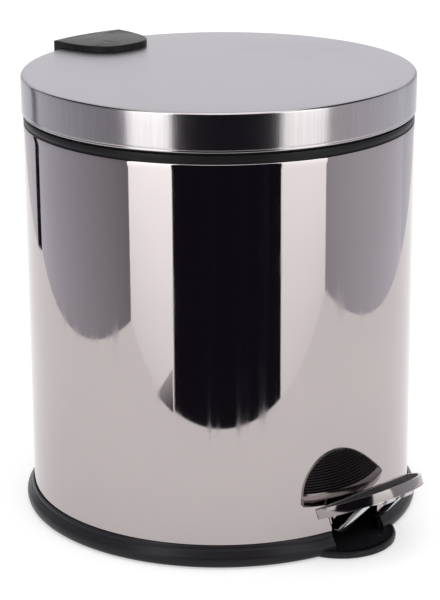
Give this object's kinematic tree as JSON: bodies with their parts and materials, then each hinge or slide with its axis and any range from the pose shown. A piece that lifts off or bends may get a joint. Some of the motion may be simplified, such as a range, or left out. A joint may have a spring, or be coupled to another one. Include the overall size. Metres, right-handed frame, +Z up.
{
  "type": "pedal bin",
  "caption": "Round pedal bin: polished steel body on a black base, flat steel lid on a rear hinge, tilted ribbed pedal, lift-out inner bucket with a wire bail.",
  "frame": {"origin": "on the bin's axis, on the floor it stands on", "axes": "+Z up along the bin's axis; -Y towards the pedal, the front; +Y towards the lid's hinge; +X to the right seen from the rear"},
  "size_m": [0.26, 0.2978, 0.2932],
  "materials": {
    "polished_steel": "mirror polished stainless sheet",
    "satin_steel": "satin stainless sheet with a fine grain",
    "zinc": "bright zinc plate",
    "bright_wire": "bright nickel plated wire",
    "black_plastic": "black moulded plastic, semi gloss",
    "bucket_plastic": "black moulded polypropylene, fine grain",
    "rubber": "black rubber"
  },
  "bodies": {
    "root": {"body_shell": "polished_steel", "base_tray": "black_plastic", "foot_front_left": "rubber", "foot_front_right": "rubber", "foot_rear_left": "rubber", "foot_rear_right": "rubber", "base_screw_left": "zinc", "base_screw_right": "zinc", "base_screw_rear": "zinc", "top_collar": "black_plastic", "cushion_ring": "rubber", "hinge_bracket": "black_plastic", "hinge_screw_upper": "zinc", "hinge_nut_upper": "zinc", "hinge_screw_lower": "zinc", "hinge_nut_lower": "zinc", "hinge_pin": "zinc", "hinge_pin_clip": "zinc", "lever_axle": "zinc", "axle_clip_left": "zinc", "axle_clip_right": "zinc", "rod_guide_lower": "black_plastic", "rod_guide_upper": "black_plastic"},
    "lid": {"lid_shell": "satin_steel", "hinge_cover": "black_plastic", "lid_hinge_arm": "zinc", "lid_rivet_left": "zinc", "lid_rivet_right": "zinc"},
    "lever": {"pedal_lever": "bright_wire", "pedal_plate": "polished_steel", "pedal_pad": "rubber", "pedal_clip_left": "zinc", "pedal_clip_right": "zinc", "pedal_rivet_left": "zinc", "pedal_rivet_right": "zinc"},
    "rod": {"push_rod": "zinc", "rod_shoe": "black_plastic"},
    "bucket": {"inner_bucket": "bucket_plastic"},
    "bail": {"bail_handle": "bright_wire", "bail_grip": "black_plastic"}
  },
  "joints": [
    {"name": "lid_hinge", "type": "hinge", "parent": "root", "child": "lid", "pos_m": [0, 0.126, 0.268], "axis": [-1, 0, 0], "range_deg": [0, 80]},
    {"name": "pedal_pivot", "type": "hinge", "parent": "root", "child": "lever", "pos_m": [0, -0.046, 0.0153], "axis": [1, 0, 0], "range_deg": [0, 6.95]},
    {"name": "rod_slide", "type": "slide", "parent": "root", "child": "rod", "axis": [0, 0, 1], "range_m": [0, 0.0194]},
    {"name": "bucket_lift", "type": "slide", "parent": "root", "child": "bucket", "axis": [0, 0, 1], "range_m": [0, 0.006]},
    {"name": "bail_swing", "type": "hinge", "parent": "bucket", "child": "bail", "pos_m": [0, 0, 0.2693], "axis": [-1, 0, 0], "range_deg": [0, 4]}
  ],
  "couplings": [
    {"joint": "pedal_pivot", "follows": "lid_hinge", "ratio": 0.08625},
    {"joint": "rod_slide", "follows": "lid_hinge", "m_per_rad": 0.01381}
  ]
}
